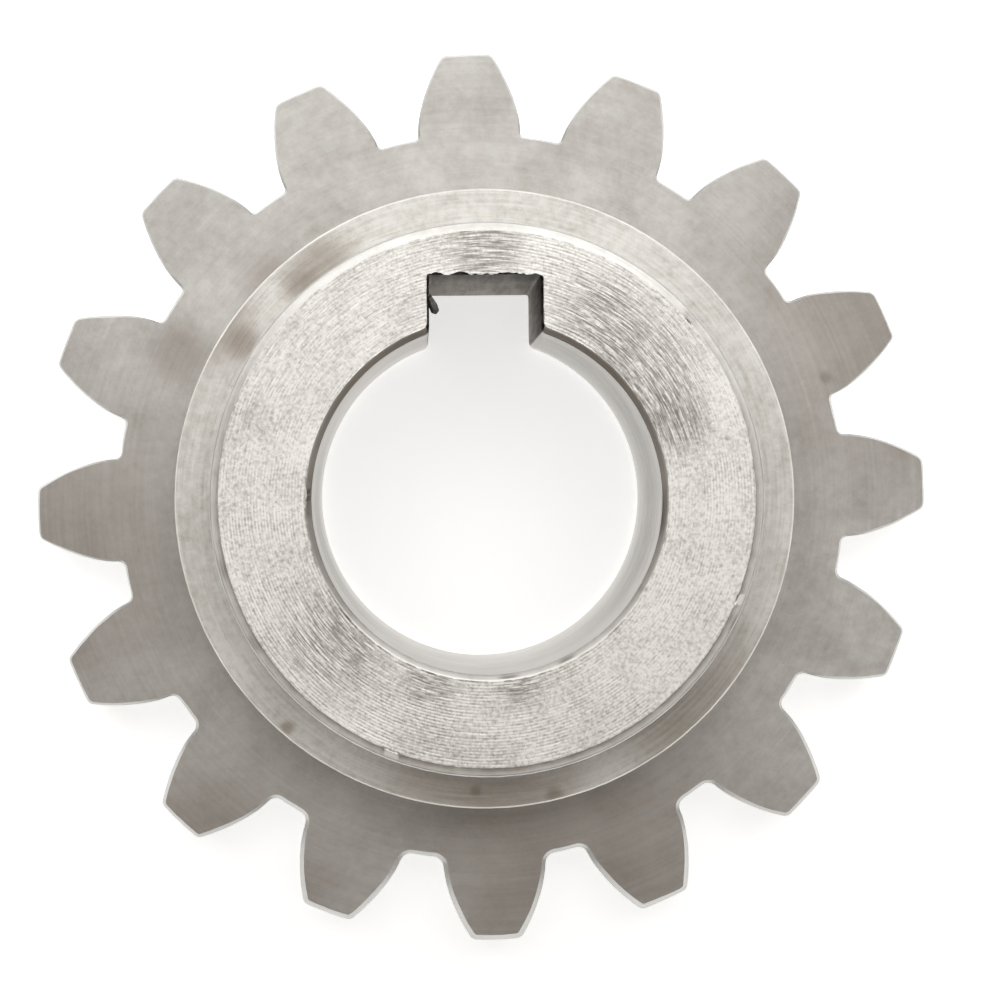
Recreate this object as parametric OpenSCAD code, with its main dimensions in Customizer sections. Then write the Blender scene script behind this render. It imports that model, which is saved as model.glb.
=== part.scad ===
// Spur pinion: a toothed disc, a collar and a hub turned from one bar, with a plain bore and one keyway.
// The origin is on the bore's axis at the back face. Z runs towards the hub, Y towards the keyway.

/* [Teeth] */
// Number of teeth
tooth_count = 16; // [14:1:32]
// Module: pitch diameter over number of teeth
gear_module = 3.75; // [3.5:0.25:6]
// Pressure angle of the flanks in degrees
pressure_angle = 20; // [16:0.5:25]
// Profile shift in modules
profile_shift = 0.59; // [0.4:0.01:0.7]
// Height of the tip above the shifted pitch circle in modules
addendum = 0.515; // [0.4:0.005:0.7]
// Depth of the root below the shifted pitch circle in modules
dedendum = 1.136; // [0.9:0.001:1.25]
// Radius in the corners of the tooth roots
root_fillet = 0.8; // [0.3:0.05:1.2]
// Radius on the corners of the tooth tips
tip_round = 0.7; // [0.1:0.05:1]
// Chamfer turned on both ends of the tooth tips
tip_chamfer = 0.3; // [0.1:0.05:1]
// Turn of the teeth against the keyway in degrees
tooth_turn = 1.4; // [-11:0.1:11]

/* [Body] */
// Width of the toothed disc
face_width = 10; // [6:0.5:25]
// Diameter of the collar
collar_d = 45.6; // [42:0.2:49]
// Length of the collar from the toothed disc
collar_length = 14; // [4:0.5:25]
// Diameter of the hub
hub_d = 39.6; // [36:0.2:43]
// Length of the hub from the collar
hub_length = 10; // [4:0.5:25]
// Chamfer on the edge of the collar
collar_chamfer = 0.45; // [0.2:0.05:1]
// Chamfer on the edge of the hub
hub_chamfer = 0.65; // [0.2:0.05:1.5]
// Radius that the turning tool leaves at the foot of the collar and of the hub
foot_radius = 0.4; // [0.1:0.05:1]

/* [Bore] */
// Diameter of the bore
bore_d = 25; // [20:0.5:28]
// Chamfer on both mouths of the bore
bore_chamfer = 0.45; // [0.2:0.05:1]
// Width of the keyway
keyway_width = 8; // [5:0.5:10]
// Depth of the keyway, from the top of the bore to the keyway's floor
keyway_depth = 3.5; // [2:0.1:4]

/* [Hidden] */

// Steps of the turned body
bore_r = bore_d / 2;
collar_r = collar_d / 2;
hub_r = hub_d / 2;
collar_top = face_width + collar_length;
hub_top = collar_top + hub_length;

// Circles of the gearing
pitch_r = gear_module * tooth_count / 2;
base_r = pitch_r * cos(pressure_angle);
tip_r = pitch_r + gear_module * (profile_shift + addendum);
root_r = pitch_r + gear_module * (profile_shift - dedendum);

// Half of a tooth pitch, and half of the tooth where its flanks start at the base circle, in degrees
half_pitch = 180 / tooth_count;
half_base = degrees(PI / 2 + 2 * profile_shift * tan(pressure_angle)) / tooth_count + involute(pressure_angle);

// Root fillet, limited by the width of the space between two teeth.
// A curve beside an involute is that involute turned by their distance over the base radius,
// so the fillet's centre lies where the turned involute crosses the circle one fillet above the root.
// A root too deep for that has a straight radial flank below the base circle.
fillet_r = min(root_fillet, 0.9 * radians(half_pitch - half_base) * base_r);
fillet_centre_r = root_r + fillet_r;
roll_at_fillet = sqrt(max(0, fillet_centre_r ^ 2 - base_r ^ 2));
on_involute = roll_at_fillet > fillet_r;
fillet_lean = on_involute ? flank_angle(fillet_centre_r) : asin(fillet_r / fillet_centre_r);
fillet_centre_a = on_involute ? half_tooth(fillet_centre_r) + degrees(fillet_r / base_r)
    : half_base + fillet_lean;
flank_start = on_involute ? norm([base_r, roll_at_fillet - fillet_r]) : base_r;

// Tip round, placed by the same rule on the inner side of the flank
round_centre_r = tip_r - tip_round;
round_centre_a = half_tooth(round_centre_r) - degrees(tip_round / base_r);
flank_end = norm([base_r, sqrt(round_centre_r ^ 2 - base_r ^ 2) + tip_round]);

// Steps along each stretch of the tooth outline, and around what is turned
flank_steps = 10;
corner_steps = 4;
land_steps = 4;
turned_steps = 180;
// How far a cutter runs past what it cuts
overrun = 1;

function degrees(angle) = angle * 180 / PI;
function radians(angle) = angle * PI / 180;
function involute(angle) = degrees(tan(angle)) - angle;
// Angle of the flank to the radius, at radius r
function flank_angle(r) = acos(base_r / r);
// Half of the tooth's angle at radius r
function half_tooth(r) = half_base - involute(flank_angle(r));

function polar(r, a) = [r * cos(a), r * sin(a)];
function arc(centre, r, from, to, steps) =
    [for (i = [0 : steps]) centre + polar(r, from + (to - from) * i / steps)];
// The same arc without its two end points
function inner_arc(centre, r, from, to, steps) =
    [for (i = [1 : steps - 1]) centre + polar(r, from + (to - from) * i / steps)];
function turned(p, a) = [p.x * cos(a) - p.y * sin(a), p.x * sin(a) + p.y * cos(a)];
function mirrored(points) = [for (i = [len(points) - 1 : -1 : 0]) [points[i].x, -points[i].y]];

// One side of a tooth that points along X, from its tip to its root
function tooth_side() = concat(
    arc(polar(round_centre_r, round_centre_a), tip_round,
        round_centre_a, round_centre_a + 90 - flank_angle(round_centre_r), corner_steps),
    [for (i = [1 : flank_steps - (on_involute ? 1 : 0)])
        let (r = flank_end + (flank_start - flank_end) * i / flank_steps) polar(r, half_tooth(r))],
    arc(polar(fillet_centre_r, fillet_centre_a), fillet_r,
        fillet_centre_a + 270 - fillet_lean, fillet_centre_a + 180, corner_steps));

// A whole tooth with the land on its tip and the land of the root beside it
function tooth(side) = concat(
    mirrored(side),
    inner_arc([0, 0], tip_r, -round_centre_a, round_centre_a, land_steps),
    side,
    inner_arc([0, 0], root_r, fillet_centre_a, 2 * half_pitch - fillet_centre_a, land_steps));

function gear_outline() =
    let (points = tooth(tooth_side()))
    [for (k = [0 : tooth_count - 1]) for (p = points) turned(p, 90 + tooth_turn + 2 * half_pitch * k)];

// The bar as turned, with the disc left wider than the teeth so that its chamfers cut their tips
module turned_blank() {
    disc_edge = tip_r + overrun;
    edge_rise = overrun + tip_chamfer;
    rotate_extrude($fn = turned_steps)
        polygon(concat(
            [[0, 0], [tip_r - tip_chamfer, 0], [disc_edge, edge_rise]],
            [[disc_edge, face_width - edge_rise], [tip_r - tip_chamfer, face_width]],
            arc([collar_r + foot_radius, face_width + foot_radius], foot_radius, 270, 180, corner_steps),
            [[collar_r, collar_top - collar_chamfer], [collar_r - collar_chamfer, collar_top]],
            arc([hub_r + foot_radius, collar_top + foot_radius], foot_radius, 270, 180, corner_steps),
            [[hub_r, hub_top - hub_chamfer], [hub_r - hub_chamfer, hub_top], [0, hub_top]]));
}

// The outline of the teeth through the whole height. Collar and hub lie inside the root circle.
module tooth_form() {
    translate([0, 0, -overrun])
        linear_extrude(hub_top + 2 * overrun)
            polygon(gear_outline());
}

module bore_cutter() {
    mouth_r = bore_r + bore_chamfer + overrun;
    rotate_extrude($fn = turned_steps)
        polygon([[0, -overrun], [mouth_r, -overrun], [bore_r, bore_chamfer],
            [bore_r, hub_top - bore_chamfer], [mouth_r, hub_top + overrun], [0, hub_top + overrun]]);
}

module keyway_cutter() {
    translate([-keyway_width / 2, 0, -overrun])
        cube([keyway_width, bore_r + keyway_depth, hub_top + 2 * overrun]);
}

module pinion_gear() {
    color([0.74, 0.73, 0.7])
        difference() {
            intersection() {
                turned_blank();
                tooth_form();
            }
            bore_cutter();
            keyway_cutter();
        }
}

pinion_gear();
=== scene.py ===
# Looks of a steel pinion gear that lies on its back face, seen from above its hub.
# Lengths are in millimetres and angles in degrees, unless a note says otherwise.
import math

import bpy
from mathutils import Matrix, Vector, noise


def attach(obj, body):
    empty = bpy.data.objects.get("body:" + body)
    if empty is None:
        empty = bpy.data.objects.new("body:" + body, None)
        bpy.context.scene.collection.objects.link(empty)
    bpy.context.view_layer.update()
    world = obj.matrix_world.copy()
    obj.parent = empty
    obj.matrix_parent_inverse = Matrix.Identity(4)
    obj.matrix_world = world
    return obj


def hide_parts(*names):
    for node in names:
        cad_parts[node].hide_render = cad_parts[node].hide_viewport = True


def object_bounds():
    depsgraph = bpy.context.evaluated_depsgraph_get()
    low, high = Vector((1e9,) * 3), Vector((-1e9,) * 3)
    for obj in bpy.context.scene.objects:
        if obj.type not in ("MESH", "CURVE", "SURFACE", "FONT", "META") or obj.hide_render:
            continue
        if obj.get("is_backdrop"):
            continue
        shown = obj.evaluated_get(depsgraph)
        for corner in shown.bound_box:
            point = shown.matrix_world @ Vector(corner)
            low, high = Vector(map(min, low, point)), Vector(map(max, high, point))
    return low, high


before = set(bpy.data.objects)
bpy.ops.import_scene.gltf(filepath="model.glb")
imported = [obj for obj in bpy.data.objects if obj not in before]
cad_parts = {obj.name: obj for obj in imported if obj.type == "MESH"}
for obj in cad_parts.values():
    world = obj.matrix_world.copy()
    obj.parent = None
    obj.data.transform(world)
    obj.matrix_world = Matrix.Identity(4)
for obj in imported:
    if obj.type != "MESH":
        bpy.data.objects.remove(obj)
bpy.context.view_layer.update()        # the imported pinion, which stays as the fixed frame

mm = 0.001
scene = bpy.context.scene
scene.view_settings.view_transform = "Standard"

print("stage: shape of the pinion")

pinion = {
    # teeth
    "teeth": 16,
    "module": 3.75,
    "pressureAngle": 20,
    "profileShift": 0.59,      # this and the next two are in modules
    "addendum": 0.515,
    "dedendum": 1.136,
    "rootFillet": 0.6,
    "tipRound": 0.7,
    "tipChamfer": 0.14,
    "toothTurn": 1.4,          # of the teeth against the keyway
    "faceWidth": 10,
    # collar and hub, with heights above the back face
    "collarRadius": 22.8,
    "collarTop": 24,
    "collarChamfer": 0.12,
    "hubRadius": 19.8,
    "hubTop": 34,
    "hubChamfer": 0.65,
    "footRadius": 0.4,         # where the hub and the collar run into the face below
    # bore and keyway
    "boreRadius": 12.5,
    "boreChamfer": 0.45,
    "keywayWidth": 8,
    "keywayFloor": 16,         # from the bore's axis
}

# Traces of the tools and of handling. A name with "Far" says what is added on the side away from the
# keyway.
wear = {
    # grooves in the hub's face
    "feed": 0.223,             # of the facing tool, per turn
    "grooveDepth": 0.0075,
    "grooveMean": 0.8,         # shares of that depth: its mean, and how it varies between and along grooves
    "grooveBetween": 0.3,
    "grooveAlong": 0.9,
    "grooveFar": -0.42,        # share
    "chatter": 0.55,           # share by which grooves are deeper on two opposite sides
    "chatterTowards": 60,
    "crestSpread": 0.004,      # unevenness between the grooves
    "faceSunk": 0.05,          # hub's face below the highest burr
    # edge of the hub's face
    "rimEase": (0.06, 0.025),  # outwards and down
    "hubBurr": 0.03,
    "burrFrom": 0.09,          # where the burr starts, turns and ends, from the chamfer's outer edge
    "burrTurn": 0.02,
    "burrFoot": 0.03,
    "burrSpread": 0.8,
    "rimWaver": 0.05,          # of all the edges of the hub and collar
    "rimWaverSlope": 0.6,
    "nicks": [(-22.4, 0.6, 0.22), (41, 0.8, 0.1), (248.6, 1.1, 0.14)],     # angle, half of the width, size
    # mouth of the bore and keyway
    "mouthBurr": 0.04,
    "mouthBurrRise": 0.8,      # share of its width
    "mouthLip": 0.12,          # width of the flatter top of the chamfer
    "mouthLipRise": 0.05,
    "flakes": [(178, 6, 0.3), (97, 2, 0.1)],                               # angle, half of the width, size
    "keywayBurr": 0.16,
    "lipChips": [(-1.9, 0.55, 0.26), (-3.4, 0.3, 0.1)],                    # place, half of the width, size
    "lipReach": (-0.1, 0.3),
    "lipRise": (0.4, 0.55),    # mean and spread, as shares of faceSunk
    "keywayEdge": 0.16,        # broken edges along the keyway
    "keywayEdgeLow": 0.7,      # share of that below the mouth's lip
    "floorCorner": 1,          # points on each side that round a corner of the keyway, at its floor
    "footCorner": 2,           # and at its foot
    # teeth
    "edgeBreak": 0.14,         # width of the deburred edge of the teeth
    "edgeBreakFar": 0.3,
    "edgeBreakSpread": 0.07,
    "edgeBreakBack": 0.6,      # share of that width on the back
    "edgeSteepness": 1.7,
    "tipReach": 0.1,           # how near to the tips their chamfer is the least width
    "outlineWaver": 0.035,
    "filletFar": 0.25,
    "filletSpread": 0.2,       # share by which fillets and tip rounds differ
}

# Steps along each stretch of the mesh, lengths that only lay it out, and the least angle of a sharp edge
steps = {
    "tipLand": 6, "tipRound": 6, "flank": 13, "fillet": 7, "rootLand": 4,
    "boreArc": 400, "keywayWall": 16, "keywayFloor": 48,
    "toothRows": 6, "toothFaceRings": 12, "boreRows": 12, "groove": 3,
    "faceFoot": 23.7, "backRings": (24, 23), "edgeLine": 0.05, "leastStep": 0.02,
    "sharpFrom": 32,
}


# Smooth noise from -1 to 1, with bumps of about that size. A fixed number given as x, y or z only picks
# another stretch of the noise.
def rough(x, y, z=0.0, size=1.0):
    return noise.noise(Vector((x, y, z)) / size)


def polar(radius, angle):              # angle in radians
    return radius * math.cos(angle), radius * math.sin(angle)


def involute(angle):                   # in radians
    return math.tan(angle) - angle


pitchRadius = pinion["module"] * pinion["teeth"] / 2
pressure = math.radians(pinion["pressureAngle"])
baseRadius = pitchRadius * math.cos(pressure)
tipRadius = pitchRadius + pinion["module"] * (pinion["profileShift"] + pinion["addendum"])
rootRadius = pitchRadius + pinion["module"] * (pinion["profileShift"] - pinion["dedendum"])
toothPitch = 2 * math.pi / pinion["teeth"]
halfPitchTooth = (math.pi / 2 + 2 * pinion["profileShift"] * math.tan(pressure)) / pinion["teeth"]
halfBase = halfPitchTooth + involute(pressure)


def flankAngle(radius):
    return math.acos(baseRadius / radius)


def halfTooth(radius):                 # half of the tooth's angle there
    return halfBase - involute(flankAngle(radius))


def arc(centre, radius, start, end, count):
    angles = [start + (end - start) * i / count for i in range(count + 1)]
    return [(centre[0] + radius * math.cos(a), centre[1] + radius * math.sin(a)) for a in angles]


# One side of a tooth along X from tip to root, and the angles where the lands beside it start
def toothSide(tipRound, fillet):
    roundRadius = tipRadius - tipRound
    roundAngle = halfTooth(roundRadius) - tipRound / baseRadius
    roundLean = flankAngle(roundRadius)
    flankEnd = math.hypot(baseRadius, math.sqrt(roundRadius ** 2 - baseRadius ** 2) + tipRound)
    filletRadius = rootRadius + fillet
    roll = math.sqrt(filletRadius ** 2 - baseRadius ** 2)
    if roll > fillet:                  # the fillet meets the involute
        filletLean = flankAngle(filletRadius)
        filletAngle = halfTooth(filletRadius) + fillet / baseRadius
        flankStart = math.hypot(baseRadius, roll - fillet)
    else:                              # the flank runs straight in below the base circle
        filletLean = math.asin(fillet / filletRadius)
        filletAngle = halfBase + filletLean
        flankStart = baseRadius
    side = arc(polar(roundRadius, roundAngle), tipRound, roundAngle,
               roundAngle + math.pi / 2 - roundLean, steps["tipRound"])
    for i in range(1, steps["flank"]):
        radius = flankEnd + (flankStart - flankEnd) * i / steps["flank"]
        side.append(polar(radius, halfTooth(radius)))
    side += arc(polar(filletRadius, filletAngle), fillet, filletAngle + 1.5 * math.pi - filletLean,
                filletAngle + math.pi, steps["fillet"])
    return side, roundAngle, filletAngle


def gearOutline():                     # counter-clockwise, with each tooth a little different
    def side(k, way):
        spread = wear["filletSpread"]
        place = k * 7.3 + way * 3.1
        far = -math.cos(toothPitch * (k + 0.5 * way))
        tip = pinion["tipRound"] * (1 + spread * rough(place, 1.7))
        fillet = (pinion["rootFillet"] + wear["filletFar"] * far) * (1 + spread * rough(place, 8.2))
        return toothSide(tip, fillet)

    found = []
    for k in range(pinion["teeth"]):
        ahead, tipAhead, rootAhead = side(k, 1)
        behind, tipBehind = side(k, -1)[:2]
        rootNext = side((k + 1) % pinion["teeth"], -1)[2]
        tooth = [(x, -y) for x, y in reversed(behind)]
        tooth += arc((0, 0), tipRadius, -tipBehind, tipAhead, steps["tipLand"])[1:-1]
        tooth += ahead
        tooth += arc((0, 0), rootRadius, rootAhead, toothPitch - rootNext, steps["rootLand"])[1:-1]
        turn = math.pi / 2 + math.radians(pinion["toothTurn"]) + toothPitch * k
        c, s = math.cos(turn), math.sin(turn)
        found += [(x * c - y * s, x * s + y * c) for x, y in tooth]
    return found


def outwardDirections(loop):
    found = []
    for i in range(len(loop)):
        (x0, y0), (x1, y1) = loop[i - 1], loop[(i + 1) % len(loop)]
        length = math.hypot(x1 - x0, y1 - y0)
        found.append(((y1 - y0) / length, (x0 - x1) / length))
    return found


def bend(t, a, b, c):                  # a point of the curve from a to c that b draws to itself
    return a * (1 - t) ** 2 + 2 * b * t * (1 - t) + c * t ** 2


def roundCorner(loop, corner, reach):
    before, middle, after = loop[corner - reach], loop[corner], loop[(corner + reach) % len(loop)]
    for i in range(1 - reach, reach):
        t = (i + reach) / (2 * reach)
        loop[(corner + i) % len(loop)] = tuple(bend(t, *abc) for abc in zip(before, middle, after))


def boreLoop(radius, widened=0.0):     # counter-clockwise round the bore and its keyway
    half = pinion["keywayWidth"] / 2 + widened
    corner = math.asin(half / radius)
    floor, foot = pinion["keywayFloor"], radius * math.cos(corner)
    walls, across = steps["keywayWall"], steps["keywayFloor"]
    loop = arc((0, 0), radius, math.pi / 2 + corner, math.pi * 2.5 - corner, steps["boreArc"])
    loop += [(half, foot + (floor - foot) * i / walls) for i in range(1, walls)]
    loop += [(half - 2 * half * i / across, floor) for i in range(across + 1)]
    loop += [(-half, floor + (foot - floor) * i / walls) for i in range(1, walls)]
    floorStart = steps["boreArc"] + walls
    for corner in (0, steps["boreArc"]):
        roundCorner(loop, corner, wear["footCorner"])
    for corner in (floorStart, floorStart + across):
        roundCorner(loop, corner, wear["floorCorner"])
    return loop


def circle(radius, like):              # a circle with its points at the same angles as another loop's
    return [polar(radius, math.atan2(y, x)) for x, y in like]


def between(start, end, t):            # a loop part of the way from one to another
    return [(a + (x - a) * t, b + (y - b) * t) for (a, b), (x, y) in zip(start, end)]


points, faces, zones = [], [], []


def addLoop(loop, z):                  # z is one height or one for each point
    first = len(points)
    heights = z if isinstance(z, list) else [z] * len(loop)
    points.extend((x, y, h) for (x, y), h in zip(loop, heights))
    return list(range(first, len(points)))


def addFace(corners, zone):
    kept = [c for i, c in enumerate(corners) if c != corners[i - 1]]
    if len(kept) > 2:
        faces.append(kept)
        zones.append(zone)


def joinLoops(inner, outer, zone):     # a band of skin that runs outwards, down, or back in underneath
    for i in range(len(inner)):
        k = (i + 1) % len(inner)
        addFace([inner[i], outer[i], outer[k], inner[k]], zone)
    return outer


def zipLoops(inner, outer, zone):      # loops of different counts, walked side by side by angle
    def angleOf(number):
        return math.atan2(points[number][1], points[number][0])

    def ahead(number):
        return (angleOf(number) - start) % (2 * math.pi)

    start = angleOf(inner[0])
    shift = min(range(len(outer)), key=lambda i: ahead(outer[i]))
    outer = outer[shift:] + outer[:shift]
    innerAngles = [ahead(n) for n in inner] + [2 * math.pi]
    outerAngles = [ahead(n) for n in outer] + [2 * math.pi + ahead(outer[0])]
    i = o = 0
    while i < len(inner) or o < len(outer):
        a, b = inner[i % len(inner)], outer[o % len(outer)]
        if o == len(outer) or (i < len(inner) and innerAngles[i + 1] <= outerAngles[o + 1]):
            i += 1
            addFace([a, b, inner[i % len(inner)]], zone)
        else:
            o += 1
            addFace([a, b, outer[o % len(outer)]], zone)


# Zones of the mesh, in the order of the steels below
turnedFace, turnedSide, satinFace, dullFace, hobbedTooth, boredWall, broachedKeyway = range(7)

# Hub's face: circles from the mouth of the bore out to the chamfer, three to each groove of the tool
hubRadius, collarRadius = pinion["hubRadius"], pinion["collarRadius"]
faceTop = pinion["hubTop"] - wear["faceSunk"]
faceRim = hubRadius - pinion["hubChamfer"]
faceInner = pinion["boreRadius"] + pinion["boreChamfer"]
arcCount = steps["boreArc"]
mouth = boreLoop(faceInner, wear["keywayEdge"])


def onKeywayFloor(i):
    first = arcCount + steps["keywayWall"]
    return first <= i <= first + steps["keywayFloor"]


def grooveHeight(x, y, ring):          # the face's height at one of the circles
    groove, part = divmod(ring, steps["groove"])
    if part == 0:
        return faceTop + wear["crestSpread"] * rough(x, y, groove * 3.7, 0.5)
    turn = 2 * (math.atan2(y, x) - math.radians(wear["chatterTowards"]))
    depth = wear["grooveMean"] + wear["grooveBetween"] * rough(groove * 5.1, 0.3)
    depth += wear["grooveAlong"] * rough(x, y, groove * 2.3, 0.9)
    depth *= (1 + wear["chatter"] * math.cos(turn)) * (1 - wear["grooveFar"] * y / hubRadius)
    return faceTop - wear["grooveDepth"] * max(0.1, depth)


def bumps(listed, x, y):               # how far the flakes or nicks in a list reach there
    found = 0
    for angle, width, size in listed:
        away = (math.degrees(math.atan2(y, x)) - angle + 180) % 360 - 180
        found += size * math.exp(-(away / width) ** 2)
    return found


least, most = wear["lipReach"]
lipMean, lipSpread = wear["lipRise"]
rise = wear["mouthBurrRise"]
mouthHeights = []
for i, (x, y) in enumerate(mouth):
    if onKeywayFloor(i):               # the broach left a ragged lip here
        lip = wear["keywayBurr"] * (rough(x, 2.6, 0, 1.1) + rough(x, 7.4, 0, 0.3))
        for place, width, size in wear["lipChips"]:
            lip += size * math.exp(-((x - place) / width) ** 4)
        mouth[i] = (x, y + max(least, min(most, lip)))
        mouthHeights.append(faceTop + wear["faceSunk"] * (lipMean + lipSpread * rough(x, y, 4.0, 0.22)))
    else:                              # and a thin burr here, which leans only sideways at the walls
        lip = wear["mouthBurr"] * abs(rough(x, y, 6.0, 0.5))
        lip += bumps(wear["flakes"], x, y) * abs(rough(x, y, 1.0, 0.3))
        mouth[i] = (x * (1 - lip / faceInner), y if i >= arcCount else y * (1 - lip / faceInner))
        mouthHeights.append(faceTop + min(rise * wear["faceSunk"], rise * lip))
mouthTop = addLoop(mouth, mouthHeights)
ringCount = int((faceRim - faceInner) / wear["feed"] * steps["groove"])
inner = mouthTop
for ring in range(1, ringCount + 1):
    radius = faceInner + (faceRim - faceInner) * ring / ringCount
    outer = []
    for i, (x, y) in enumerate(mouth):
        if math.hypot(x, y) >= radius - steps["leastStep"]:
            outer.append(mouthTop[i])  # this line hasn't left the keyway yet
            continue
        nick = bumps(wear["nicks"], x, y) if ring == ringCount else 0
        px, py = polar(radius - nick, math.atan2(y, x))
        height = faceTop - nick if ring == ringCount else grooveHeight(px, py, ring)
        points.append((px, py, height))
        outer.append(len(points) - 1)
    joinLoops(inner, outer, turnedFace)
    inner = outer
rimLoop = [points[n][:2] for n in inner]


def footArc(radius, height):           # the small round at the foot of the hub or the collar
    foot = pinion["footRadius"]
    angles = [math.radians(t) for t in (0, 30, 60, 90)]
    return [(radius + foot - foot * math.cos(t), height + foot - foot * math.sin(t), turnedSide, 0, 0)
            for t in angles]


# Down the hub and the collar: radius, height, zone of the band above it, and shares of waver and of burr
hubEdge = pinion["hubTop"] - pinion["hubChamfer"]
collarTop = pinion["collarTop"]
collarEdge = collarTop - pinion["collarChamfer"]
easeOut, easeDown = wear["rimEase"]
flatStart, flatEnd = hubRadius + pinion["footRadius"], collarRadius - pinion["collarChamfer"]
profile = [
    (faceRim + easeOut, faceTop - easeDown, turnedSide, 0.25, 0),
    (hubRadius - wear["burrFrom"], hubEdge + wear["burrFrom"], turnedSide, 0.1, 0),
    (hubRadius - wear["burrTurn"], hubEdge + wear["burrFrom"], hobbedTooth, 0.2, 1),
    (hubRadius, hubEdge + wear["burrFoot"], hobbedTooth, 0.4, 1),
    (hubRadius, hubEdge - 2.5, turnedSide, 0, 0),      # this and the next only lay out the mesh
    (hubRadius, collarTop + 3, turnedSide, 0, 0),
]
profile += footArc(hubRadius, collarTop)
profile += [(flatStart + (flatEnd - flatStart) * t, collarTop, satinFace, 0, 0)
            for t in (0.05, 0.2, 0.35, 0.5, 0.65, 0.8, 0.95)]
profile += [
    (flatEnd, collarTop, satinFace, 0.3, 0),
    (collarRadius, collarEdge, turnedSide, 0.3, 0),
    (collarRadius, collarEdge - 6, turnedSide, 0, 0),  # and so do these two
    (collarRadius, pinion["faceWidth"] + 3, turnedSide, 0, 0),
]
profile += footArc(collarRadius, pinion["faceWidth"])

spread = wear["burrSpread"]
for radius, height, zone, ragged, lip in profile:
    loop, heights = [], []
    for x, y in circle(radius, rimLoop):
        waver = ragged * wear["rimWaver"] * rough(x, y, height, 0.7)
        burr = lip * wear["hubBurr"] * (0.5 - 0.5 * y / radius)
        burr *= spread + spread * rough(x, y, 2.0, 1.5)
        loop.append((x * (1 + waver / radius), y * (1 + waver / radius)))
        heights.append(height + waver * wear["rimWaverSlope"] + burr)
    inner = joinLoops(inner, addLoop(loop, heights), zone)
collarFoot = inner


def wavered(x, y, nx, ny):
    back = wear["outlineWaver"] * abs(rough(x, y, 0, 1.1))
    return x - nx * back, y - ny * back


# Toothed disc: outline, worn edges, front face and back face
outline = gearOutline()
outward = outwardDirections(outline)
outline = [wavered(x, y, nx, ny) for (x, y), (nx, ny) in zip(outline, outward)]


def edgeWidth(x, y, seed):             # how wide the edge is rounded there
    far = max(0, -y / tipRadius) ** 2
    width = wear["edgeBreak"] + wear["edgeBreakFar"] * far
    width += wear["edgeBreakSpread"] * rough(x, y, seed, 2.5)
    if math.hypot(x, y) > tipRadius - wear["tipReach"]:
        width = max(width, pinion["tipChamfer"])
    return width


def insetLoop(amounts):
    return [(x - nx * a, y - ny * a) for (x, y), (nx, ny), a in zip(outline, outward, amounts)]


top = pinion["faceWidth"]
frontWidths = [edgeWidth(x, y, 3.0) for x, y in outline]
backWidths = [wear["edgeBreakBack"] * edgeWidth(x, y, 9.0) for x, y in outline]
footLoop = circle(steps["faceFoot"], outline)
toothFace = insetLoop([w + steps["edgeLine"] for w in frontWidths])
inner = addLoop(footLoop, top)
zipLoops(collarFoot, inner, dullFace)
for ring in range(1, steps["toothFaceRings"] + 1):
    loop = between(footLoop, toothFace, ring / steps["toothFaceRings"])
    inner = joinLoops(inner, addLoop(loop, top), dullFace)
inner = joinLoops(inner, addLoop(insetLoop(frontWidths), top), dullFace)
for t in (0.5, 1):                     # down the deburred edge
    loop = insetLoop([w * (1 - t) for w in frontWidths])
    heights = [top - wear["edgeSteepness"] * w * t for w in frontWidths]
    inner = joinLoops(inner, addLoop(loop, heights), hobbedTooth)
for row in range(1, steps["toothRows"]):
    inner = joinLoops(inner, addLoop(outline, top - top * row / steps["toothRows"]), hobbedTooth)
for t in (0, 45, 90):                  # round the edge of the back
    c, s = math.cos(math.radians(t)), math.sin(math.radians(t))
    loop = insetLoop([w * (1 - c) for w in backWidths])
    heights = [w * (1 - s) for w in backWidths]
    inner = joinLoops(inner, addLoop(loop, heights), hobbedTooth)
outerRing, innerRing = steps["backRings"]
for t in (0.05, 0.35, 0.7, 1):
    loop = between(insetLoop(backWidths), circle(outerRing, outline), t)
    inner = joinLoops(inner, addLoop(loop, 0.0), satinFace)
backOuter = addLoop(circle(innerRing, mouth), 0.0)
zipLoops(inner, backOuter, satinFace)
inner = backOuter
for t in (0.25, 0.5, 0.75, 1):
    loop = between(circle(innerRing, mouth), boreLoop(faceInner), t)
    inner = joinLoops(inner, addLoop(loop, 0.0), satinFace)


def boreBand(lower, upper, wallZone=boredWall):
    for i in range(len(lower)):
        k = (i + 1) % len(lower)
        zone = wallZone if i < arcCount else broachedKeyway
        addFace([lower[i], upper[i], upper[k], lower[k]], zone)
    return upper


# Up the bore, and closed at its front mouth
bore = boreLoop(pinion["boreRadius"])
low, high = pinion["boreChamfer"], pinion["hubTop"] - pinion["boreChamfer"]
for row in range(steps["boreRows"] + 1):
    inner = boreBand(inner, addLoop(bore, low + (high - low) * row / steps["boreRows"]))
lip = boreLoop(faceInner - wear["mouthLip"], wear["keywayEdge"] * wear["keywayEdgeLow"])
inner = boreBand(inner, addLoop(lip, faceTop - wear["mouthLipRise"]))
boreBand(inner, mouthTop, turnedSide)

# A chip that the broach left hanging on the keyway's wall: a bent rod, thicker towards its free end
chip = {
    "start": (-4.15, 14.7, 33.6), "bend": (-3.85, 14.3, 33.5), "end": (-3.5, 13.25, 33.2),
    "thickness": 0.27, "slant": 0.3, "steps": 14, "sides": 10,
    "startShare": 0.7, "growth": 0.5, "lumps": 0.3,    # shares of the thickness
}

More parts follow.
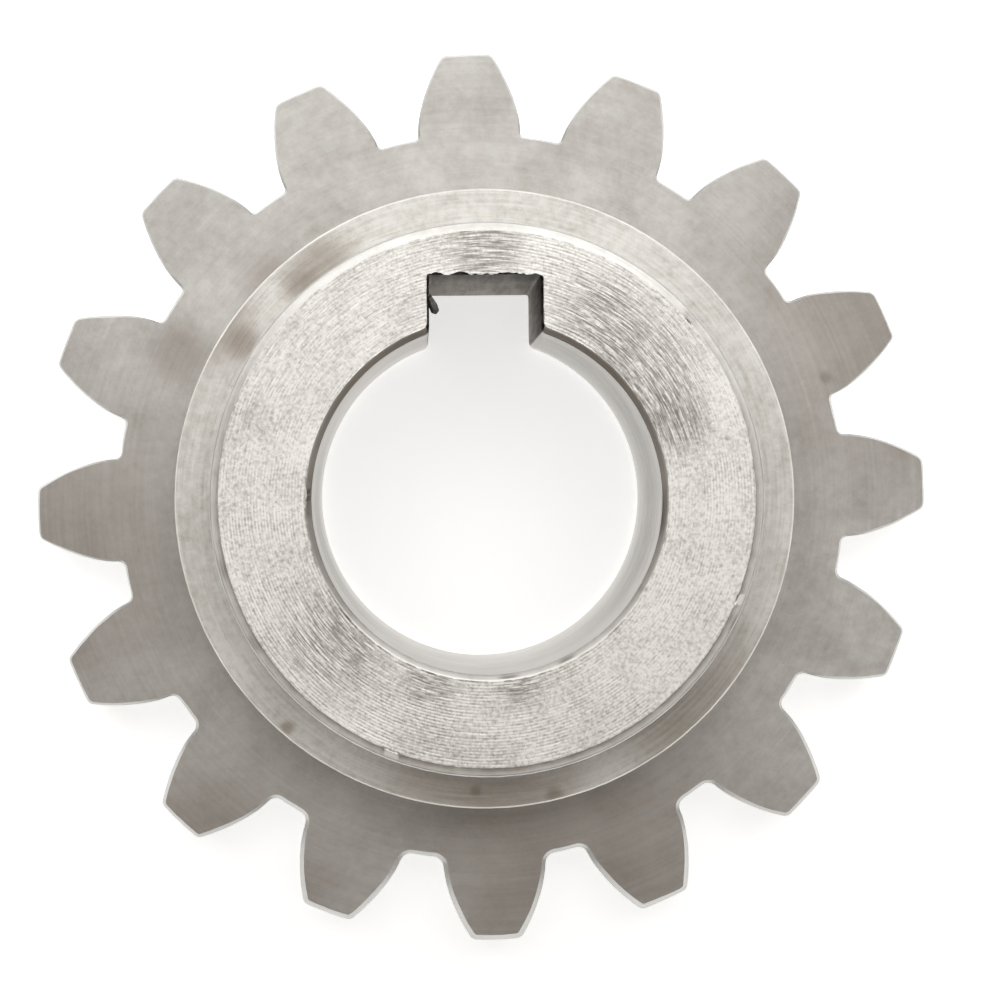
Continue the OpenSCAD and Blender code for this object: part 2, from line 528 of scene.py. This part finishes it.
chipPath = [Vector(chip[name]) for name in ("start", "bend", "end")]
around = [2 * math.pi * k / chip["sides"] for k in range(chip["sides"])]
rings = []
for i in range(chip["steps"] + 1):
    t = i / chip["steps"]
    centre = bend(t, *chipPath)
    blunt = math.sqrt(max(0.02, 1 - (2 * t - 1) ** 6))      # 1 along the rod, less at its ends
    share = chip["startShare"] + chip["growth"] * t + chip["lumps"] * rough(5 * t, 3.3)
    thickness = chip["thickness"] * share * blunt
    loop = [(centre.x + thickness * math.cos(a), centre.y + chip["slant"] * thickness * math.cos(a))
            for a in around]
    rings.append(addLoop(loop, [centre.z + thickness * math.sin(a) for a in around]))
for upper, lower in zip(rings, rings[1:]):
    joinLoops(upper, lower, hobbedTooth)
addFace(rings[0], hobbedTooth)
addFace(rings[-1][::-1], hobbedTooth)

mesh = bpy.data.meshes.new("pinionGear")
mesh.from_pydata([Vector(p) * mm for p in points], [], faces)
mesh.polygons.foreach_set("material_index", zones)
mesh.update()
mesh.validate()
mesh.shade_smooth()
mesh.set_sharp_from_angle(angle=math.radians(steps["sharpFrom"]))
pinionGear = bpy.data.objects.new("pinionGear", mesh)
scene.collection.objects.link(pinionGear)
print("pinion gear:", sum(len(f) - 2 for f in faces), "triangles")

print("stage: materials")


def hexColour(code):                   # sRGB hex to linear
    channels = [int(code[i:i + 2], 16) / 255 for i in (1, 3, 5)]
    return [c / 12.92 if c <= 0.04045 else ((c + 0.055) / 1.055) ** 2.4 for c in channels] + [1]


def addNode(tree, kind, inputs={}, **settings):      # gives back the node's outputs
    node = tree.nodes.new(kind)
    for name, value in settings.items():
        setattr(node, name, value)
    for name, value in inputs.items():
        if isinstance(value, bpy.types.NodeSocket):
            tree.links.new(value, node.inputs[name])
        else:
            node.inputs[name].default_value = value
    return node.outputs


def newMaterial(name):
    material = bpy.data.materials.new(name)
    material.use_nodes = True
    tree = material.node_tree
    return material, tree, tree.nodes["Principled BSDF"]


# Every steel has the same make-up: fine lines left by the tool, mottling, traces of oil and a few placed
# dark spots, each with its place and reach. Most spots are stains; the wide ones on the collar, the toothed
# face, the bore and the keyway are painted shade. "lines" says which way the tool went: in rings, in turns
# or in strokes, and a share in each steel says how far its stains and painted shade keep to those lines.
steels = {
    # faced on the lathe, silvery, with dark oil in some grooves
    "facedSteel": {
        "light": "#EBE9E4", "dark": "#9A958D", "roughness": 0.4, "roughSpread": 0.08,
        "lines": "rings", "lineWidth": 0.1, "lineLength": 1.6, "lineContrast": 0.2, "lineDepth": 0.002,
        "mottleSize": 0.27, "mottleContrast": 0.9, "mottleDepth": 0.008,
        "feed": wear["feed"], "feedContrast": 0.35,
        "stainAndShadeTone": "#5E5850", "stainAndShadeShare": 0.65, "stainAndShadeLines": 1,
        "stainsAndShade": [
            ((11.5, 9, 34), 6), ((-11, -10, 34), 6), ((-4, -12.8, 34), 3), ((8, 13, 34), 5),
            ((2, -13.2, 34), 2.5), ((0, 17.6, 34), 4), ((-16, 16, 50), 24), ((13.4, 5.4, 34), 3.5),
        ],
    },
    # turned sides and chamfers, bright and smoother than the face
    "turnedSteel": {
        "light": "#EBE9E4", "dark": "#BDB8B0", "roughness": 0.42, "roughSpread": 0.06,
        "lines": "turns", "lineWidth": 0.12, "lineLength": 12, "lineContrast": 0.25, "lineDepth": 0.002,
        "mottleSize": 0.8, "mottleContrast": 0.3, "mottleDepth": 0.003,
        "stainAndShadeTone": "#7A746B", "stainAndShadeShare": 0.5, "stainAndShadeLines": 0.6,
        "stainsAndShade": [
            ((17.6, -9.1, 33.6), 1.2), ((14.6, 12.7, 33.6), 1),
            ((-19, -4.8, 33.5), 1.2), ((-16.5, -10, 33.5), 1),
        ],
    },
    # satin face of the collar and back, greenish grey, with brown stains at the collar's upper left and
    # brown painted shade over its lower side
    "satinSteel": {
        "light": "#D7D5D0", "dark": "#A29C92", "roughness": 0.44, "roughSpread": 0.06,
        "lines": "rings", "lineWidth": 0.22, "lineLength": 6, "lineContrast": 0.35, "lineDepth": 0.003,
        "mottleSize": 0.8, "mottleContrast": 0.7, "mottleDepth": 0.008,
        "stainAndShadeTone": "#7C6F63", "stainAndShadeShare": 0.6, "stainAndShadeLines": 0.15,
        "stainsAndShade": [
            ((-11.6, 17.2, 24), 3.4), ((-17.6, 11.6, 24), 2), ((-0.9, -21.5, 24), 0.6),
            ((4.9, -21.9, 24), 1), ((-14.7, -16.7, 24), 0.8), ((-13.6, 15.9, 24), 2),
            # the first and the last spot here are wide painted shade over the collar's lower side; the
            # middle one and those above are stains
            ((0, -25, 24), 12), ((-20, 13, 24), 5), ((17, -17, 24), 10),
        ],
    },
    # dull face of the toothed disc, with faint rings and soft clouds, a few small stains, and brown painted
    # shade over its right, left and lower side
    "dullSteel": {
        "light": "#D3D0CB", "dark": "#959087", "roughness": 0.52, "roughSpread": 0.06,
        "lines": "rings", "lineWidth": 0.22, "lineLength": 7, "lineContrast": 0.12, "lineDepth": 0.002,
        "mottleSize": 1.0, "mottleContrast": 0.5, "mottleDepth": 0.01,
        "stainAndShadeTone": "#867A70", "stainAndShadeShare": 0.52, "stainAndShadeLines": 0.1,
        "stainsAndShade": [
            # the last spot here and those on the next line are wide painted shade; the three small ones
            # before it are stains
            ((-23.2, 11.2, 10), 3.5), ((-15.6, 16.5, 10), 4), ((26.6, 9, 10), 0.7), ((35, 14, 10), 23),
            ((-36, -4, 10), 21), ((10, -36, 10), 25), ((-22, -31, 10), 18),
        ],
    },
    # hobbed flanks and worn edges, matt, with the hob's feed marks across; the chip is stained dark
    "hobbedSteel": {
        "light": "#D6D6D3", "dark": "#AEADAA", "roughness": 0.52, "roughSpread": 0.06,
        "lines": "turns", "lineWidth": 0.5, "lineLength": 4, "lineContrast": 0.25, "lineDepth": 0.006,
        "mottleSize": 0.6, "mottleContrast": 0.35, "mottleDepth": 0.004,
        "stainAndShadeTone": "#3E3A36", "stainAndShadeShare": 0.9, "stainAndShadeLines": 0.6,
        "stainsAndShade": [((-3.6, 14, 33.4), 3)],
    },
    # bored wall, pale, with small stains at its mouth and wide painted shade that darkens its right and
    # left sides
    "boredSteel": {
        "light": "#D2CFC9", "dark": "#A8A39C", "roughness": 0.42, "roughSpread": 0.06,
        "lines": "turns", "lineWidth": 0.14, "lineLength": 14, "lineContrast": 0.2, "lineDepth": 0.003,
        "mottleSize": 1.2, "mottleContrast": 0.3, "mottleDepth": 0.003,
        "stainAndShadeTone": "#6B655E", "stainAndShadeShare": 0.7, "stainAndShadeLines": 0.8,
        "stainsAndShade": [
            ((12.8, -1, 33.7), 2.6), ((1.4, -12.7, 33.7), 1.1), ((5.6, -11.5, 33.7), 1),
            # these three wide spots are painted shade on the sides of the wall
            ((9, 10, 17), 22), ((-14, -4, 17), 14), ((13, -3, 17), 17),
        ],
    },
    # broached keyway, scratched lengthways, with dark tones and wide dark spots that are painted shade of
    # the deep slot
    "broachedSteel": {
        "light": "#948C80", "dark": "#45403A", "roughness": 0.63, "roughSpread": 0.1,
        "lines": "strokes", "lineWidth": 0.7, "lineLength": 16, "lineContrast": 0.7, "lineDepth": 0.006,
        "mottleSize": 0.8, "mottleContrast": 1.0, "mottleDepth": 0.008,
        "stainAndShadeTone": "#2A2724", "stainAndShadeShare": 0.75, "stainAndShadeLines": 0.5,
        "stainsAndShade": [
            ((-0.2, 16, 31.5), 1), ((-3.6, 16, 32.5), 1.6), ((3, 16, 33), 1.6),
            # these two wide spots are painted shade over the slot's upper part and its right wall
            ((0, 17, 36), 16), ((4.4, 13, 33), 16),
        ],
    },
}

# How the patterns are drawn on all of them
patterns = {
    "spread": 3,               # noise keeps near its middle, so it is stretched by this
    "lightness": 0.7,          # from the dark tone, 0, to the light one, 1
    "lineRadius": 18,          # where lineLength is true for rings and turns
    "cloudScale": 0.22, "cloudContrast": 0.25,
    "oilScale": 0.35, "oilShifts": 4,
    "oilFrom": 0.4, "oilTo": 0.62,
    "grooveFrom": 0.62, "grooveTo": 0.4,
    "dullFrom": 0.3, "dullTo": 0.7,
    "stainAndShadeCore": 0.2,          # share of the reach of each stain and each patch of painted shade that is at full strength
}


def steelMaterial(name, look):
    material, tree, shader = newMaterial(name)
    place = addNode(tree, "ShaderNodeTexCoord")["Object"]
    place = addNode(tree, "ShaderNodeVectorMath", {0: place, "Scale": 1 / mm}, operation="SCALE")[0]
    axes = addNode(tree, "ShaderNodeSeparateXYZ", {0: place})
    flat = addNode(tree, "ShaderNodeCombineXYZ", {"X": axes["X"], "Y": axes["Y"]})[0]
    radius = addNode(tree, "ShaderNodeVectorMath", {0: flat}, operation="LENGTH")["Value"]

    # Along the lines the noise changes slowly, across them fast
    if look["lines"] == "strokes":
        stretch = (1 / look["lineWidth"], 1 / look["lineWidth"], 1 / look["lineLength"])
        along = addNode(tree, "ShaderNodeVectorMath", {0: place, 1: stretch}, operation="MULTIPLY")[0]
    else:
        across = radius if look["lines"] == "rings" else axes["Z"]
        across = addNode(tree, "ShaderNodeMath", {0: across, 1: look["lineWidth"]}, operation="DIVIDE")[0]
        across = addNode(tree, "ShaderNodeCombineXYZ", {"Z": across})[0]
        turns = patterns["lineRadius"] / look["lineLength"]
        around = addNode(tree, "ShaderNodeVectorMath", {0: flat}, operation="NORMALIZE")[0]
        around = addNode(tree, "ShaderNodeVectorMath", {0: around, "Scale": turns}, operation="SCALE")[0]
        along = addNode(tree, "ShaderNodeVectorMath", {0: across, 1: around}, operation="ADD")[0]
    lines = addNode(tree, "ShaderNodeTexNoise", {
        "Vector": along, "Scale": 1, "Detail": 2, "Roughness": 0.6})[0]
    mottle = addNode(tree, "ShaderNodeTexNoise", {
        "Vector": place, "Scale": 1 / look["mottleSize"], "Detail": 4, "Roughness": 0.65})[0]
    clouds = addNode(tree, "ShaderNodeTexNoise", {
        "Vector": place, "Scale": patterns["cloudScale"], "Detail": 2})[0]

    # Lightness from 0 to 1 between the dark and the light tone
    contrast = patterns["spread"] * look["lineContrast"]
    shade = addNode(tree, "ShaderNodeMath", {
        0: lines, 1: contrast, 2: patterns["lightness"] - contrast / 2}, operation="MULTIPLY_ADD")[0]
    if "feed" in look:                 # oil in the grooves of the feed, in patches
        wave = addNode(tree, "ShaderNodeMath", {
            0: radius, 1: 2 * math.pi / look["feed"]}, operation="MULTIPLY")[0]
        wave = addNode(tree, "ShaderNodeMath", {
            0: lines, 1: patterns["oilShifts"], 2: wave}, operation="MULTIPLY_ADD")[0]
        wave = addNode(tree, "ShaderNodeMath", {0: wave}, operation="SINE")[0]
        patch = addNode(tree, "ShaderNodeTexNoise", {
            "Vector": place, "Scale": patterns["oilScale"], "Detail": 3})[0]
        patch = addNode(tree, "ShaderNodeMapRange", {
            "Value": patch, "From Min": patterns["oilFrom"], "From Max": patterns["oilTo"],
            "To Max": look["feedContrast"] / 2})[0]
        shade = addNode(tree, "ShaderNodeMath", {0: wave, 1: patch, 2: shade}, operation="MULTIPLY_ADD")[0]
    for pattern, contrast in ((mottle, look["mottleContrast"]), (clouds, patterns["cloudContrast"])):
        pattern = addNode(tree, "ShaderNodeMath", {0: pattern, 1: 0.5}, operation="SUBTRACT")[0]
        shade = addNode(tree, "ShaderNodeMath", {
            0: pattern, 1: patterns["spread"] * contrast, 2: shade}, operation="MULTIPLY_ADD")[0]
    shade = addNode(tree, "ShaderNodeClamp", {0: shade})[0]
    colour = addNode(tree, "ShaderNodeMix", {
        0: shade, 6: hexColour(look["dark"]), 7: hexColour(look["light"])}, data_type="RGBA")[2]

    # Stains and painted shade fade out, and keep to the grooves as far as the steel's share for lines says
    for spot, reach in look["stainsAndShade"]:
        away = addNode(tree, "ShaderNodeVectorMath", {0: place, 1: spot}, operation="DISTANCE")["Value"]
        near = addNode(tree, "ShaderNodeMapRange", {
            "Value": away, "From Min": reach, "From Max": patterns["stainAndShadeCore"] * reach},
            interpolation_type="SMOOTHSTEP")[0]
        inGrooves = addNode(tree, "ShaderNodeMapRange", {
            "Value": lines, "From Min": patterns["grooveFrom"], "From Max": patterns["grooveTo"],
            "To Min": 1 - look["stainAndShadeLines"]})[0]
        near = addNode(tree, "ShaderNodeMath", {0: near, 1: inGrooves}, operation="MULTIPLY")[0]
        near = addNode(tree, "ShaderNodeMath", {0: near, 1: look["stainAndShadeShare"]}, operation="MULTIPLY")[0]
        colour = addNode(tree, "ShaderNodeMix", {
            0: near, 6: colour, 7: hexColour(look["stainAndShadeTone"])}, data_type="RGBA")[2]

    dullness = addNode(tree, "ShaderNodeMapRange", {
        "Value": mottle, "From Min": patterns["dullFrom"], "From Max": patterns["dullTo"],
        "To Min": look["roughness"] - look["roughSpread"],
        "To Max": look["roughness"] + look["roughSpread"]})[0]

    height = addNode(tree, "ShaderNodeMath", {0: lines, 1: look["lineDepth"]}, operation="MULTIPLY")[0]
    height = addNode(tree, "ShaderNodeMath", {
        0: mottle, 1: look["mottleDepth"], 2: height}, operation="MULTIPLY_ADD")[0]
    relief = addNode(tree, "ShaderNodeBump", {"Height": height, "Distance": mm})[0]

    shader.inputs["Metallic"].default_value = 1
    tree.links.new(colour, shader.inputs["Base Color"])
    tree.links.new(dullness, shader.inputs["Roughness"])
    tree.links.new(relief, shader.inputs["Normal"])
    return material


for name, look in steels.items():
    mesh.materials.append(steelMaterial(name, look))

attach(pinionGear, "root")
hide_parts("pinion_gear")

print("stage: floor, lights and camera")

# Pale floor that glows just enough to be white, and a little more where the steel mirrors it. It is clear
# from below, and the gap keeps it from flickering through the pinion's back.
floor = {      # size and gap in metres
    "size": 6.0, "gap": 0.00001, "colour": "#F2F2F0", "roughness": 0.9,
    "glow": 0.68, "glowInSteel": 0.88,
}

half, level = floor["size"] / 2, -floor["gap"]
corners = [(-half, -half, level), (half, -half, level), (half, half, level), (-half, half, level)]
floorMesh = bpy.data.meshes.new("floor")
floorMesh.from_pydata(corners, [], [(0, 1, 2, 3)])
floorObject = bpy.data.objects.new("floor", floorMesh)
scene.collection.objects.link(floorObject)
material, tree, shader = newMaterial("paleFloor")
shader.inputs["Base Color"].default_value = hexColour(floor["colour"])
shader.inputs["Roughness"].default_value = floor["roughness"]
ray = addNode(tree, "ShaderNodeLightPath")
glow = addNode(tree, "ShaderNodeMath", {
    0: ray["Is Camera Ray"], 1: ray["Is Transmission Ray"]}, operation="MAXIMUM")[0]
glow = addNode(tree, "ShaderNodeMath", {0: glow, 1: floor["glow"]}, operation="MULTIPLY")[0]
glow = addNode(tree, "ShaderNodeMath", {
    0: ray["Is Glossy Ray"], 1: floor["glowInSteel"], 2: glow}, operation="MULTIPLY_ADD")[0]
glow = addNode(tree, "ShaderNodeEmission", {"Color": (1, 1, 1, 1), "Strength": glow})[0]
lit = addNode(tree, "ShaderNodeAddShader", {0: shader.outputs[0], 1: glow})[0]
below = addNode(tree, "ShaderNodeNewGeometry")["Backfacing"]
clear = addNode(tree, "ShaderNodeBsdfTransparent")[0]
surface = addNode(tree, "ShaderNodeMixShader", {0: below, 1: lit, 2: clear})[0]
tree.links.new(surface, tree.nodes["Material Output"].inputs["Surface"])
material.cycles.emission_sampling = "NONE"       # or glossy rays would see only part of the glow
floorMesh.materials.append(material)
floorObject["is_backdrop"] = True

lamps = {      # place in metres, width and height in metres, watts
    "nearLamp": {"place": (0, 0.21, 0.19), "size": (0.55, 0.29), "power": 0.56, "colour": "#FAFCFF"},
    "highLamp": {"place": (0, 0.2, 0.8), "size": (0.6, 0.2), "power": 0.92, "colour": "#FCFDFF"},
    "topLamp": {"place": (0, 0, 0.9), "size": (0.5, 0.5), "power": 0.85, "colour": "#FFFCF8"},
}
litPoint = Vector((0, 0, 0.02))        # where they aim, in metres

for name, lamp in lamps.items():
    light = bpy.data.lights.new(name, "AREA")
    light.shape = "RECTANGLE"
    light.size, light.size_y = lamp["size"]
    light.energy = lamp["power"]
    light.color = hexColour(lamp["colour"])[:3]
    lightObject = bpy.data.objects.new(name, light)
    lightObject.location = lamp["place"]
    lightObject.rotation_euler = (litPoint - lightObject.location).to_track_quat("-Z", "Y").to_euler()
    scene.collection.objects.link(lightObject)

# The room's walls are brighter than its ceiling, most of all where the keyway points to
room = {
    "ceiling": 0.02, "walls": 0.29, "brightWall": 0.62, "towards": (0, 1, 0),
    "dimColour": "#FFF0E2", "brightColour": "#FFFFFF",
}

world = bpy.data.worlds.new("studio")
scene.world = world
world.use_nodes = True
tree = world.node_tree
background = tree.nodes["Background"]
view = addNode(tree, "ShaderNodeTexCoord")["Generated"]
up = addNode(tree, "ShaderNodeSeparateXYZ", {0: view})["Z"]
up = addNode(tree, "ShaderNodeClamp", {0: up})[0]
side = addNode(tree, "ShaderNodeVectorMath", {
    0: view, 1: room["towards"]}, operation="DOT_PRODUCT")["Value"]
side = addNode(tree, "ShaderNodeMath", {0: side, 1: 0.5, 2: 0.5}, operation="MULTIPLY_ADD")[0]
wall = addNode(tree, "ShaderNodeMath", {
    0: side, 1: room["brightWall"], 2: room["walls"]}, operation="MULTIPLY_ADD")[0]
strength = addNode(tree, "ShaderNodeMix", {0: up, 2: wall, 3: room["ceiling"]})[0]
colour = addNode(tree, "ShaderNodeMix", {
    0: side, 6: hexColour(room["dimColour"]), 7: hexColour(room["brightColour"])}, data_type="RGBA")[2]
tree.links.new(strength, background.inputs["Strength"])
tree.links.new(colour, background.inputs["Color"])

camera = {
    "place": (-4.95, 1.75, 323.7),
    "aim": (0.907, -0.04, 34.0),
    "roll": 0.58,              # the picture's up against the part's Y
    "lens": 146.7,
    "sensor": 36,
    "nearest": 10,
}
cameraData = bpy.data.cameras.new("camera")
cameraData.lens = camera["lens"]
cameraData.sensor_width = camera["sensor"]
cameraData.clip_start = camera["nearest"] * mm
cameraObject = bpy.data.objects.new("camera", cameraData)
scene.collection.objects.link(cameraObject)
place, aim = Vector(camera["place"]), Vector(camera["aim"])
roll = math.radians(camera["roll"])
forward = (aim - place).normalized()
right = forward.cross(Vector((math.sin(roll), math.cos(roll), 0))).normalized()
up = right.cross(forward)
rows = [(right[i], up[i], -forward[i], place[i] * mm) for i in range(3)]
cameraObject.matrix_world = Matrix(rows + [(0, 0, 0, 1)])
scene.camera = cameraObject

low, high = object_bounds()
